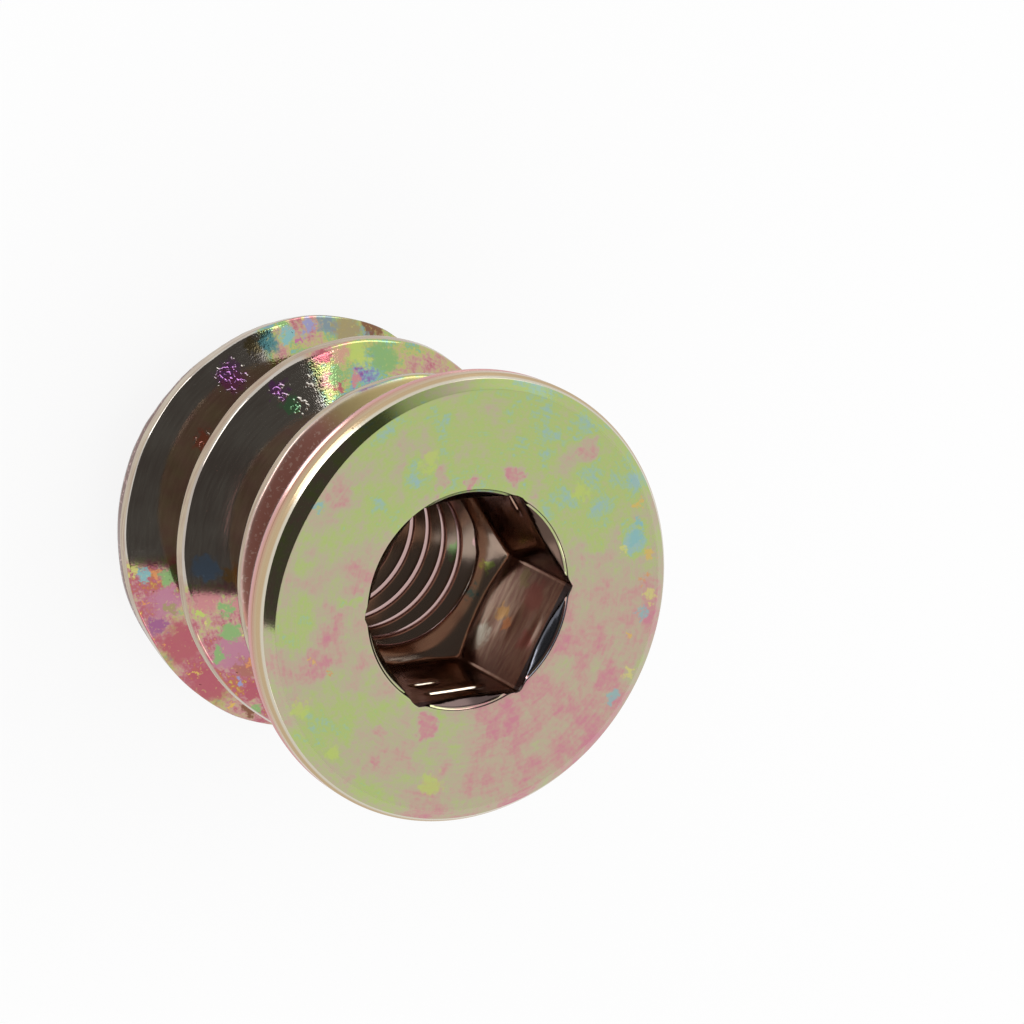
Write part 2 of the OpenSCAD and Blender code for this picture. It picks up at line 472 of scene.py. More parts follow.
rows += [np.full(COLUMNS, tap_top)]
z = np.stack(rows)
radius = bore_radius(angles, z)
radius[0] = mouth - MOUTH_EDGE
shell.grid(radius, z)
print("socket", len(rows), "rows")

# %% Tapped bore
m6_steps = np.array([0, 0.09, 0.125, 0.16, 0.25, 0.33, 0.40, 0.45,
                     0.5, 0.55, 0.60, 0.67, 0.75, 0.84, 0.875, 0.91])
m6_offsets = np.sort((m6_steps + M6_START) % 1) * M6_PITCH
INTO_CONE = 0.15
tap_foot = relief_l + relief_cone_h - INTO_CONE
z = helix_rows(M6_PITCH, m6_offsets, tap_foot, tap_top)
shell.grid(bore_radius(angles, z), z, climb=len(m6_offsets))
print("tapped bore", z.shape[0], "rows")

# %% [markdown]
# ## Pilot end
# The bore opens through a plain relief with a rounded entry, then comes the narrow ring that the
# insert stands on, and its edge. These rings close the skin.

# %% Pilot end
relief_rows = (tap_foot, 1.55, 1.45, 1.36, 1.3, 1.22, 0.9, entry_r)
rings = [ring(bore_radius, h) for h in relief_rows]
for t in range(15, 91, 15):
    turn = math.radians(90 - t)
    rings.append((relief_r + entry_r * (1 - math.sin(turn)), entry_r * (1 - math.cos(turn))))
pilot_wall = ring(shank_radius, shank_foot)[0]
for t in (90, 67, 45, 22, 0):
    turn = math.radians(t)
    rings.append((pilot_wall - pilot_edge * (1 - math.cos(turn)),
                  pilot_edge * (1 - math.sin(turn))))
rings.append((pilot_wall, shank_foot))
shell.grid(*ring_rows(rings))
print("pilot end", len(rings), "rings")

# %% [markdown]
# ## Into one mesh
# Points that fall together are merged, faces that lose a corner become triangles or vanish, and the
# normals are turned outward. What is left has to be closed, so every edge is counted.

# %% Merging and adding
PLACES_PER_MM = 1e5  # points that share a place on a grid this fine are one point


def merged(points, faces):
    """The points and the faces that are left when points at one place are merged."""
    places = np.round(points * PLACES_PER_MM).astype(np.int64)
    _, first, where = np.unique(places, axis=0, return_index=True, return_inverse=True)
    kept = []
    for face in where.reshape(-1)[faces]:
        corners = [v for i, v in enumerate(face) if v != face[i - 1]]
        if len(set(corners)) == len(corners) and len(corners) > 2:
            kept.append([int(v) for v in corners])
    return points[first], kept


def new_object(name, data):
    """A new object in the scene."""
    item = bpy.data.objects.new(name, data)
    bpy.context.scene.collection.objects.link(item)
    return item


points, faces = merged(np.concatenate(shell.points), np.concatenate(shell.faces))
print(shell.count, "points, merged into", len(points))

# %% Mesh
mesh = bpy.data.meshes.new("insert_skin")
mesh.from_pydata((points * MM).tolist(), [], faces)
insert = new_object("insert_skin", mesh)

work = bmesh.new()
work.from_mesh(mesh)
bmesh.ops.recalc_face_normals(work, faces=work.faces)
open_edges = sum(len(e.link_faces) != 2 for e in work.edges)
work.to_mesh(mesh)
work.free()
mesh.shade_smooth()
triangles = sum(len(p.vertices) - 2 for p in mesh.polygons)
print("skin:", triangles, "triangles,", open_edges, "edges that aren't shared by two faces")

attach(insert, "root")
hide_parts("insert")

# %% [markdown]
# ## Sockets that can be added and multiplied
# A finish is mostly arithmetic on masks. Node by node that is hard to read, so one small class
# wraps an output socket and lets Python's operators add the Math nodes. Vectors use Vector Math
# and colours use Mix, because a Math node would turn a colour grey.

# %% The wire class
class Wire:
    """An output socket of a shader tree that takes part in Python expressions."""

    def __init__(self, socket):
        self.socket, self.tree = socket, socket.id_data

    def node(self, kind, settings=None, sockets=None, out=0):
        """Adds any node: first its settings, then the values or wires of its sockets."""
        made = self.tree.nodes.new("ShaderNode" + kind)
        for name, value in (settings or {}).items():
            if name == "stops":
                set_stops(made.color_ramp, value)
            else:
                setattr(made, name, value)
        for name, value in (sockets or {}).items():
            join(made.inputs[name], value)
        return Wire(made.outputs[out])

    def maths(self, operation, *values):
        return self.node("Math", {"operation": operation}, dict(enumerate(values)))

    def __add__(self, other):
        return self.maths("ADD", self, other)

    def __sub__(self, other):
        return self.maths("SUBTRACT", self, other)

    def __rsub__(self, other):
        return self.maths("SUBTRACT", other, self)

    def __mul__(self, other):
        return self.maths("MULTIPLY", self, other)

    def __truediv__(self, other):
        return self.maths("DIVIDE", self, other)

    def __rtruediv__(self, other):
        return self.maths("DIVIDE", other, self)

    __radd__, __rmul__ = __add__, __mul__

    def larger(self, other):
        return self.maths("MAXIMUM", self, other)

    def smaller(self, other):
        return self.maths("MINIMUM", self, other)

    def step(self, start, end):
        """Goes smoothly from 0 to 1 as the value goes from start to end."""
        return self.node("MapRange", {"interpolation_type": "SMOOTHSTEP"},
                         {"Value": self, "From Min": start, "From Max": end})

    def blend(self, first, second):
        """Mixes two colours, with this value as the share of the second."""
        return self.node("Mix", {"data_type": "RGBA"}, {0: self, 6: first, 7: second}, 2)

    def along(self, *direction):
        """How far this vector reaches along a direction."""
        return self.node("VectorMath", {"operation": "DOT_PRODUCT"},
                         {0: self, 1: direction}, out="Value")

    def bearing(self):
        """The angle of this vector round the Z axis, in radians."""
        return self.maths("ARCTAN2", self.along(0, 1, 0), self.along(1, 0, 0))

    def noise(self, size, detail=3.0, roughness=0.55, stretch=(1, 1, 1), out="Fac"):
        """Noise whose grain is about size across, in the units of this vector."""
        fitted = self.node("VectorMath", {"operation": "MULTIPLY"},
                           {0: self, 1: [k / size for k in stretch]})
        return self.node("TexNoise", sockets={
            "Vector": fitted, "Scale": 1.0, "Detail": detail, "Roughness": roughness}, out=out)


def join(target, value):
    """Links a wire to a socket, or sets the socket's value. A colour comes without its alpha."""
    if isinstance(value, Wire):
        target.id_data.links.new(value.socket, target)
    else:
        target.default_value = (*value, 1) if target.type == "RGBA" else value


def set_stops(ramp, stops):
    """Gives a colour ramp its stops: (position, colour)."""
    while len(ramp.elements) > 1:
        ramp.elements.remove(ramp.elements[-1])
    for i, (place, colour) in enumerate(stops):
        element = ramp.elements[0] if i == 0 else ramp.elements.new(place)
        element.position, element.color = place, (*colour, 1)


print("wires ready")

# %% A new material
def new_material(name):
    """A material and the wire of its Principled shader's output."""
    material = bpy.data.materials.new(name)
    material.use_nodes = True
    shader = material.node_tree.nodes["Principled BSDF"]
    return material, shader, Wire(shader.outputs[0])


def feed(shader, **sockets):
    """Sets or links the shader's sockets. An underscore in a name stands for a space."""
    for name, value in sockets.items():
        join(shader.inputs[name.replace("_", " ")], value)


print("material helpers ready")

# %% [markdown]
# ## Yellow passivated zinc
# The plating is bright zinc, and the bath leaves a film on it about as thick as a wave of light is
# long. Which colour comes back depends on the film's thickness, so one number per point, the
# thickness, is worked out first, and a ramp turns it into a colour. It drifts over millimetres,
# where the liquid ran off slowly or fast. The same film lies on all of the insert, but it looks so
# different on the turned face, on the thread and in the socket that each gets a material.

# %% Where on the insert a point lies
SPOT_OUTSIDE, SPOT_INSIDE = 1.3, 0.65  # a spot fades between these, as shares of its size


class Finish:
    """A material and the fields of its pattern. A field adds its nodes when it is first used."""

    def __init__(self, name):
        self.material, self.shader, self.tree = new_material(name)

    def vector(self, operation, *values, out=0):
        sockets = dict(enumerate(values))
        return self.tree.node("VectorMath", {"operation": operation}, sockets, out)

    @cached_property
    def place(self):
        """Where the point lies, in millimetres."""
        metres = self.tree.node("TexCoord", out="Object")
        return self.vector("MULTIPLY", metres, (1 / MM,) * 3)

    @cached_property
    def flat(self):
        """The place seen from above, as a vector from the axis."""
        return self.vector("MULTIPLY", self.place, (1, 1, 0))

    @cached_property
    def radius(self):
        return self.vector("LENGTH", self.flat, out="Value")

    @cached_property
    def height(self):
        return self.place.along(0, 0, 1)

    @cached_property
    def normal(self):
        return self.tree.node("TexCoord", out="Normal")

    @cached_property
    def outward(self):
        """How far the surface looks away from the axis, from -1 to 1."""
        return self.vector("DOT_PRODUCT", self.normal, self.flat, out="Value") / self.radius

    @cached_property
    def upward(self):
        """How far the surface looks up, from -1 to 1."""
        return self.normal.along(0, 0, 1)

    @cached_property
    def broad(self):
        return self.place.noise(1.9, 2.0) - 0.5

    @cached_property
    def small(self):
        return self.place.noise(0.6, 3.0) - 0.5

    @cached_property
    def fine(self):
        return self.place.noise(0.12, 2.0) - 0.5

    @cached_property
    def streaks(self):
        """Fine marks round the axis, as the lathe leaves them."""
        turned = self.tree.node("CombineXYZ", sockets={
            "X": self.radius, "Y": self.height, "Z": self.place.bearing() * 0.25})
        return turned.noise(0.07, 2.0) - 0.5

    def wrinkled(self, size, shift):
        """The place moved about by noise, so that the edge of a spot is ragged."""
        push = self.vector("SUBTRACT", self.place.noise(size, 3.0, 0.65, out="Color"), (0.5,) * 3)
        return self.vector("MULTIPLY_ADD", push, (shift,) * 3, self.place)

    @cached_property
    def ragged(self):
        return self.wrinkled(0.32, 0.95)

    @cached_property
    def drifted(self):
        return self.wrinkled(0.8, 1.6)

    def sector(self, angle, start, end):
        """1 toward an angle round the axis and 0 away from it, between two cosines."""
        a = math.radians(angle)
        return (self.place.along(math.cos(a), math.sin(a), 0) / self.radius).step(start, end)

    def near(self, field, angle, away, level, size):
        """1 within a spot at (angle, radius, height) and 0 outside of it."""
        a = math.radians(angle)
        centre = (away * math.cos(a), away * math.sin(a), level)
        distance = self.vector("DISTANCE", field, centre, out="Value")
        return distance.step(size * SPOT_OUTSIDE, size * SPOT_INSIDE)

    def thickness(self, film, spots):
        """Lays soft spots over a film: (angle, radius, height, size, thickness)."""
        for *spot, thick in spots:
            film = self.tree.node("Mix", {"data_type": "FLOAT"},
                                  {0: self.near(self.drifted, *spot), 2: film, 3: thick})
        return film

    def tints(self, colour, spots, strength):
        """Lays spots over a colour: (angle, radius, height, size, name of the film's colour)."""
        for *spot, name in spots:
            colour = (self.near(self.ragged, *spot) * strength).blend(colour, FILM[name])
        return colour

    def ramp(self, film, stops):
        return self.tree.node("ValToRGB", {"stops": stops}, {"Fac": film})

    def finish(self, colour, rough, grain):
        """Makes it bare metal with a grain in millimetres, and gives it to the insert."""
        sockets = {"Height": grain, "Distance": MM, "Strength": 1.0}
        bump = self.tree.node("Bump", sockets=sockets)
        feed(self.shader, Metallic=1.0, Base_Color=colour, Roughness=rough, Normal=bump)
        insert.data.materials.append(self.material)


print("a spot fades from", SPOT_INSIDE, "to", SPOT_OUTSIDE, "of its size")

# %% [markdown]
# ## Colours of the film
# These are the colours a thin film runs through, in the order of its thickness and once more by
# name. Where a drop stood and dried the film steps quickly, so such a spot is small, has a hard
# edge, and gets its colour by name.

# %% Named colours
FILM = {
    "cyan": (0.24, 0.46, 0.47), "teal": (0.08, 0.22, 0.24), "green": (0.25, 0.42, 0.17),
    "lime": (0.48, 0.57, 0.15), "straw": (0.61, 0.58, 0.20), "gold": (0.66, 0.44, 0.12),
    "orange": (0.66, 0.29, 0.12), "peach": (0.58, 0.33, 0.24), "pink": (0.56, 0.24, 0.25),
    "mauve": (0.47, 0.21, 0.29), "magenta": (0.50, 0.16, 0.32), "crimson": (0.43, 0.11, 0.14),
    "violet": (0.33, 0.12, 0.25), "lilac": (0.32, 0.32, 0.52), "slate": (0.22, 0.28, 0.32),
    "olive": (0.36, 0.29, 0.15), "brown": (0.22, 0.10, 0.06), "purple": (0.62, 0.26, 0.70),
    "leaf": (0.35, 0.78, 0.40), "rust": (0.75, 0.30, 0.24), "navy": (0.36, 0.52, 0.75),
    # One of these is no film colour: the neutral grey painted where the flanks mirror the dark card
    "painted_card_grey": (0.60, 0.56, 0.50), "silver": (0.62, 0.60, 0.50), "copper": (0.62, 0.36, 0.13),
    "rose": (0.66, 0.40, 0.40), "russet": (0.40, 0.16, 0.13)}
FACE_STOPS = [
    (0.00, (0.32, 0.47, 0.44)), (0.12, (0.35, 0.49, 0.32)), (0.26, (0.415, 0.51, 0.175)),
    (0.40, (0.44, 0.475, 0.235)), (0.54, (0.47, 0.43, 0.285)), (0.68, (0.505, 0.385, 0.295)),
    (0.82, (0.54, 0.315, 0.285)), (1.00, (0.56, 0.235, 0.285))]
FLANK_STOPS = [
    (0.00, (0.26, 0.1, 0.3)), (0.12, (0.24, 0.24, 0.42)), (0.24, (0.24, 0.44, 0.4)),
    (0.34, (0.3, 0.44, 0.2)), (0.44, (0.46, 0.47, 0.16)), (0.54, (0.5, 0.4, 0.24)),
    (0.66, (0.52, 0.28, 0.26)), (0.80, (0.44, 0.13, 0.18)), (0.92, (0.48, 0.18, 0.09)),
    (1.00, (0.55, 0.36, 0.1))]
print(len(FILM), "named colours")

# %% [markdown]
# ## The face
# The face was turned fine and looks satin. Its film is thin toward one side and thick toward the
# other, so it goes from yellow-green to pink, with clouds in between. The bevel round it has the
# same film but is bright.

# %% Clouds and drops on the face
# The angle, the radius and the size of a cloud, and how thick the film is there
FACE_CLOUDS = [
    (10, 5.75, 0.45, 0.08), (6, 4.2, 0.7, 0.66), (30, 5.0, 0.9, 0.22), (62, 4.9, 1.0, 0.26),
    (88, 5.1, 0.9, 0.3), (109, 4.4, 0.6, 0.22), (42, 4.0, 0.6, 0.2), (67, 3.8, 0.35, 0.8),
    (86, 3.6, 0.28, 0.8), (101, 4.0, 0.38, 0.78), (44, 5.75, 0.4, 0.74), (137, 5.7, 0.5, 0.8),
    (159, 3.6, 0.4, 0.78), (172, 3.8, 0.35, 0.28), (183, 4.4, 0.45, 0.78), (183, 6.0, 0.4, 0.26),
    (192, 5.1, 0.4, 0.78), (214, 5.7, 0.8, 0.28), (228, 4.6, 0.32, 0.8), (235, 5.2, 0.28, 0.76),
    (247, 3.9, 0.45, 0.95), (282, 4.7, 0.9, 0.74), (286, 3.9, 0.45, 0.92), (306, 5.1, 0.9, 0.76),
    (325, 5.6, 0.4, 0.9), (345, 4.5, 0.8, 0.74)]
# The same of a drop that dried, and the name of its colour
FACE_DROPS = [
    (10, 5.75, 0.24, "cyan"), (15, 5.95, 0.16, "cyan"), (4, 6.1, 0.18, "gold"),
    (352, 6.15, 0.2, "straw"), (347, 5.95, 0.16, "cyan"), (358, 5.9, 0.14, "orange"),
    (20, 6.1, 0.15, "gold"), (322, 6.15, 0.22, "cyan"), (256, 5.6, 0.34, "lime"),
    (190, 5.2, 0.12, "gold"), (197, 4.9, 0.1, "orange"), (203, 6.1, 0.28, "lime"),
    (220, 6.05, 0.24, "lime"), (143, 6.05, 0.16, "cyan"), (340, 5.7, 0.13, "gold"),
    (27, 6.1, 0.12, "cyan"), (8, 5.3, 0.12, "straw"), (330, 6.1, 0.14, "straw"),
    (36, 4.7, 0.3, "lime"), (105, 4.6, 0.28, "lime")]


def on_face(spots):
    """The same spots with the height of the face put in."""
    return [(angle, away, length, size, what) for angle, away, size, what in spots]


print("face has", len(FACE_CLOUDS), "clouds and", len(FACE_DROPS), "drops")

# %% Face
face = Finish("passivated_face")
thinner, thicker = face.sector(65, 0.3, 0.9), face.sector(312, 0.3, 0.9)
film = 0.50 + thinner * -0.20 + thicker * 0.20 + face.broad
film = face.thickness(film, on_face(FACE_CLOUDS))
colour = face.ramp(film + face.small * 0.85 + face.fine * 0.45 + face.streaks * 0.3, FACE_STOPS)
colour = face.tints(colour, on_face(FACE_DROPS), 0.75)

SATIN, BRIGHT, WORN = 0.33, -0.23, 0.35
sloped = face.upward.step(0.98, 0.93)
worn = face.sector(88, 0.86, 0.97)
rough = SATIN + sloped * BRIGHT + sloped * worn * WORN
ORANGE_PEEL, STREAK_DEPTH = 0.0004, 0.0008
grain = face.place.noise(0.05, 1.0) * ORANGE_PEEL + face.streaks * STREAK_DEPTH
face.finish(colour, rough, grain)
print("face ready")

# %% [markdown]
# ## The thread
# The flanks of the thread are as bright as a mirror, and their colours are strong. Where they
# mirror the dark card their film is painted a neutral grey, a painted tone for that dark
# reflection, so there they show hardly any colour. Places are given along the helix: a spot on a
# flank is at an angle, above the first or the second crest, and at a radius.

# %% Flanks
thread = Finish("passivated_thread")
outside = thread.outward.step(0.03, 0.15)
below_rim = thread.height.step(rim_foot - 0.30, rim_foot - 0.42)
steep = thread.tree.maths("ABSOLUTE", thread.upward)
flanks = outside * steep.step(0.20, 0.40) * below_rim
# Flanks that face down; they get painted shade further on
under = flanks * thread.upward.step(-0.2, -0.4)
print("flanks end", round(rim_foot - 0.42, 2), "mm up")

# %% Heights and places along the helix
# The angle is counted from the side of -X, so it jumps on the side of +X
turned = thread.tree.maths("ARCTAN2", thread.place.along(0, -1, 0), thread.place.along(-1, 0, 0))
along_helix = thread.height - turned * (pitch / math.tau)
CREST_AT_180 = pitch * ((180 - start_angle) / 360 + 1)
CREST_EDGE_R, EDGE_COMES_IN = 6.2, 0.2  # radius of the first crest's edge, and how much less a turn


def on_flank(angle, turn, away, *rest):
    """A place on the flank above a crest. The crests are counted from the pilot end."""
    crest = pitch * ((angle - start_angle) / 360 + turn)
    top = CREST_EDGE_R - EDGE_COMES_IN * (turn - 1)
    return angle, away, crest + land_w / 2 + (top - away) * math.tan(flank), *rest


print("the first crest is", round(CREST_AT_180, 2), "mm up at 180 degrees")

# %% Drops on the flanks
# The angle, the crest, the radius and the size of a drop that dried, and the name of its colour
FLANK_DROPS = [
    (197, 1, 5.5, 0.5, "mauve"), (212, 1, 5.6, 0.75, "crimson"), (228, 1, 5.8, 0.75, "crimson"),
    (186, 1, 6.2, 0.17, "straw"), (187, 1, 5.88, 0.23, "cyan"), (187, 1, 5.56, 0.15, "orange"),
    (189, 1, 5.18, 0.32, "green"), (200, 1, 5.45, 0.14, "olive"), (203, 1, 5.95, 0.28, "violet"),
    (196, 1, 5.98, 0.08, "orange"), (210, 1, 6.0, 0.08, "orange"), (222, 1, 5.98, 0.09, "gold"),
    (238, 1, 6.08, 0.12, "gold"), (244, 1, 6.0, 0.25, "brown"), (106, 1, 5.75, 0.3, "olive"),
    (101, 1, 5.7, 0.36, "teal"), (95, 1, 6.05, 0.2, "green"), (94, 1, 5.7, 0.22, "cyan"),
    (90, 1, 5.5, 0.14, "magenta"), (87, 1, 5.8, 0.24, "lilac"), (87, 1, 6.12, 0.14, "straw"),
    (80, 1, 5.9, 0.36, "slate"), (73, 1, 5.7, 0.5, "olive"), (64, 1, 6.0, 0.4, "brown"),
    (118, 1, 5.4, 0.48, "purple"), (140, 1, 4.85, 0.32, "rust"), (208, 2, 5.3, 0.6, "mauve"),
    (188, 2, 5.5, 0.35, "pink"), (192, 2, 4.75, 0.25, "pink"), (192, 2, 5.0, 0.22, "green"),
    (200, 2, 5.12, 0.3, "green"), (206, 2, 5.6, 0.22, "green"), (192, 2, 5.68, 0.12, "lime"),
    (196, 2, 5.7, 0.1, "straw"), (203, 2, 4.84, 0.09, "straw"), (214, 2, 5.2, 0.32, "russet"),
    (213, 2, 5.1, 0.16, "orange"), (216, 2, 5.62, 0.14, "lilac"), (222, 2, 5.5, 0.3, "crimson"),
    (224, 2, 5.35, 0.1, "violet"), (228, 2, 5.9, 0.18, "green"), (98, 2, 5.9, 0.3, "crimson"),
    (92, 2, 5.85, 0.24, "peach"), (89, 2, 5.98, 0.12, "rust"), (86, 2, 5.72, 0.36, "lime"),
    (95, 2, 5.3, 0.28, "green"), (88, 2, 5.05, 0.22, "pink"), (96, 2, 4.95, 0.2, "crimson"),
    (77, 2, 5.6, 0.45, "green"), (116, 2, 5.72, 0.3, "purple"), (115, 2, 5.1, 0.28, "leaf"),
    (178, 2, 5.35, 0.4, "navy"), (180, 2, 4.65, 0.3, "copper")]
print("flanks have", len(FLANK_DROPS), "drops")

# %% Film on the flanks
film = 0.60 + thread.broad * 1.3
film = film + thread.sector(228, 0.62, 0.84) * 0.12 + thread.sector(85, 0.80, 0.95) * -0.18
film = film + thread.small * 0.7 + thread.fine * 0.6 + thread.streaks * 0.3
flank_colour = thread.ramp(film, FLANK_STOPS)
# Painted reflection tone: where the flanks mirror the dark card, the film is painted a neutral grey
# without specks, so the dark reflection shows no colour
mirrors_card = thread.sector(143, 0.750, 0.795)
painted_card_grey = (thread.broad * 2.5 + thread.streaks * 1.5 + 0.5).blend(FILM["painted_card_grey"], (0.44, 0.38, 0.34))
flank_colour = mirrors_card.blend(flank_colour, painted_card_grey)
flank_colour = thread.tints(flank_colour, [on_flank(*drop) for drop in FLANK_DROPS], 0.95)
specks = thread.fine.step(0.12, 0.20) * (1 - mirrors_card) * 0.3
flank_colour = specks.blend(flank_colour, FILM["straw"])
# Painted shade: the flanks that face down are painted nearly black, which also darkens what the
# flanks above them mirror
under_shade_colour = (thread.small * 2 + 0.5).blend((0.115, 0.065, 0.055), (0.115, 0.09, 0.055))
print("flanks ready")

# %% [markdown]
# ## Crests and rim
# The crests carry the thinnest film and look pale, except the outer band of the first crest, which
# is darker: brown with bright flecks. The last flank lies under the flange, where the tool left it
# rough.

# %% Crests
CREST_DARK, CREST_PALE = (0.42, 0.31, 0.24), (0.53, 0.45, 0.33)
BAND_BROWN, BAND_FLECK = (0.17, 0.085, 0.07), (0.62, 0.42, 0.40)
flecks = thread.place.noise(0.10, 2.0).step(0.58, 0.66)
land_colour = (thread.streaks * 3 + thread.small * 1.5 + 0.5).blend(CREST_DARK, CREST_PALE)
# The outer band of the first crest is darker: brown with bright flecks
band = along_helix.step(CREST_AT_180 - 0.16, CREST_AT_180 - 0.22) * thread.height.step(3.3, 3.2)
band = band * thread.sector(165, 0.70, 0.78)
land_colour = band.blend(land_colour, flecks.blend(BAND_BROWN, BAND_FLECK))
print("crests ready")

# %% Rim
# Where each band of the rim begins, from the ridge up, and its colour
RIDGE = (0.62, 0.36, 0.35)
RIM_BANDS = [(rim_foot - 0.12, rim_foot - 0.02, (0.50, 0.30, 0.20)),
             (rim_foot + 0.12, rim_foot + 0.32, (0.51, 0.38, 0.23)),
             (length - 0.30, length - 0.24, (0.62, 0.57, 0.46))]
rim_colour = RIDGE
for start, end, tone in RIM_BANDS:
    rim_colour = thread.height.step(start, end).blend(rim_colour, tone)
print("rim ready")

# %% Last flank
ROUGH_DARK, ROUGH_FLECK, ROUGH_YELLOW = (0.56, 0.27, 0.22), (0.74, 0.50, 0.42), (0.50, 0.40, 0.19)
last_from = CREST_AT_180 + 2 * pitch
last_flank = along_helix.step(last_from + 0.10, last_from + 0.25) * flanks
last_colour = flecks.blend(ROUGH_DARK, ROUGH_FLECK)
last_colour = thread.sector(85, 0.80, 0.92).blend(last_colour, ROUGH_YELLOW)

colour = below_rim.blend(rim_colour, land_colour)
colour = flanks.blend(colour, flank_colour)
colour = last_flank.blend(colour, last_colour)
# Painted shade on the flanks that face down
colour = under.blend(colour, under_shade_colour)
print("last flank ready")

# %% Grain of the thread
PITTED = [(118, 1, 5.4, 0.55), (140, 1, 4.85, 0.30), (116, 2, 5.6, 0.30),
          (113, 2, 4.95, 0.32), (104, 2, 5.3, 0.35)]
SATIN, MIRROR, TORN, DULL_PIT = 0.20, -0.12, 0.34, 0.06
PIT_DEPTH, MORE_PEEL = 0.012, 0.0012
pitted = thread.near(thread.place, *on_flank(*PITTED[0]))
for spot in PITTED[1:]:
    pitted = pitted.larger(thread.near(thread.place, *on_flank(*spot)))
pits = (thread.place.noise(0.15, 1.0) + pitted * 0.3).step(0.76, 0.92)
rough = SATIN + flanks * MIRROR + last_flank * TORN + pits * DULL_PIT
peel = thread.place.noise(0.05, 1.0) * (ORANGE_PEEL + thread.sector(100, 0.88, 0.97) * MORE_PEEL)
grain = peel + thread.streaks * STREAK_DEPTH + pits * PIT_DEPTH
thread.finish(colour, rough, grain)
print("thread ready")

# %% [markdown]
# ## The socket and the bore
# The bath drains slowly from the socket, so the film is thick there: brown, with a grey patch, and
# bright streaks painted as highlights on the ledges of one flat. The broach left marks along the
# flats. The crests of the machine thread are pinkish.

# %% Drops in the socket
# The angle, the radius, the height and the size of a drop, and the name of its colour
SOCKET_DROPS = [
    (346, 3.2, 11.4, 0.55, "russet"), (312, 3.15, 9.6, 0.5, "silver"),
    (330, 3.0, 10.2, 0.3, "copper"), (326, 3.0, 10.7, 0.22, "orange"),
    (322, 3.0, 12.0, 0.35, "russet"), (352, 3.3, 10.5, 0.25, "olive"),
    (350, 2.9, 8.9, 0.18, "lime"), (0, 2.9, 8.4, 0.28, "rose"), (332, 2.9, 8.5, 0.3, "teal"),
    (30, 2.7, 7.6, 0.5, "rose"), (350, 2.7, 7.2, 0.4, "green")]
print("socket has", len(SOCKET_DROPS), "drops")

# %% Walls of the socket and the bore
BROACHED_DARK, BROACHED_PALE = (0.34, 0.20, 0.155), (0.44, 0.31, 0.23)
TAPPED, TAPPED_CREST = (0.36, 0.27, 0.215), (0.56, 0.37, 0.35)
bore = Finish("passivated_socket")
broached = bore.tree.node("CombineXYZ", sockets={
    "X": bore.place.bearing() * 2.2, "Y": bore.height, "Z": bore.radius * 0.5})
marks = broached.noise(0.14, 3.0, stretch=(0.25, 1, 1))
colour = marks.step(0.35, 0.65).blend(BROACHED_DARK, BROACHED_PALE)
tapped = bore.height.step(9.5, 8.8)
colour = tapped.blend(colour, TAPPED)
colour = (tapped * bore.radius.step(2.585, 2.525)).blend(colour, TAPPED_CREST)
colour = bore.tints(colour, SOCKET_DROPS, 0.85)
print("walls ready")

# %% Ledges with painted glints, and the countersink with painted shade
LEDGE_GLINT_TINT, CONE_PAINTED_SHADE = (0.95, 0.84, 0.70), (0.10, 0.07, 0.065)
# Sides of the countersink painted with the shade they show: the angle, two cosines, and the colour
CONE_PAINTED_SIDES = [(182, 0.55, 0.70, (0.42, 0.38, 0.26)), (40, 0.80, 0.88, (0.10, 0.065, 0.05)),
              (330, 0.88, 0.93, (0.12, 0.125, 0.145))]


def ledge_glint(angle, level, start, end):
    """The ledge at this height, where a glint is painted."""
    from_below = bore.height.step(level - 0.12, level - 0.06)
    from_above = bore.height.step(level + 0.06, level + 0.02)
    return from_below * from_above * bore.sector(angle, start, end)


# Painted highlight: the ledges of two broach marks are painted nearly white, so that they glint
ledge_glints = ledge_glint(270, UPPER_LEDGE, 0.955, 0.970).larger(ledge_glint(262, LOWER_LEDGE, 0.985, 0.990))
colour = ledge_glints.blend(colour, LEDGE_GLINT_TINT)

# The countersink is wider than the hexagon, so it is a narrow cone at the middle of each flat
# Painted shade: the countersink is painted dark on most sides and dark slate on one, while one side
# keeps a pale film colour like the face
cone = CONE_PAINTED_SHADE
for *side, tone in CONE_PAINTED_SIDES:
    cone = bore.sector(*side).blend(cone, tone)
colour = bore.height.step(length - 0.42, length - 0.36).blend(colour, cone)

SHINY, MARK_DEPTH = 0.16, 0.0012
bore.finish(colour, SHINY, bore.place.noise(0.05, 1.0) * ORANGE_PEEL + marks * MARK_DEPTH)
print("socket ready")

# %% Which faces get which finish
FACE, THREAD, SOCKET = range(3)
UP_ENOUGH, INWARD_ENOUGH, WITHIN_R, PILOT_FACE_Z = 0.75, -0.2, 3.5, 0.1


def region(polygon):
    """The finish of a polygon: the bevel goes with the face, and the rim with the thread."""
    x, y, z = polygon.center / MM
    away = math.hypot(x, y)
    outward = (polygon.normal.x * x + polygon.normal.y * y) / away
    if z > length - bevel_h - 0.03 and polygon.normal.z > UP_ENOUGH and away > mouth_r:
        return FACE
    inside = outward < INWARD_ENOUGH or (away < WITHIN_R and z > PILOT_FACE_Z)
    return SOCKET if inside else THREAD


regions = [region(polygon) for polygon in mesh.polygons]
mesh.polygons.foreach_set("material_index", regions)
counts = [regions.count(finish) for finish in (FACE, THREAD, SOCKET)]
print("polygons of the face, the thread and the socket:", counts)

# %% [markdown]
# ## Camera
# A long lens from well above the flange: its face shows as a round disc, and the threads behind it
# step away to one side. The camera is rolled, so the insert seems to lie on its side.

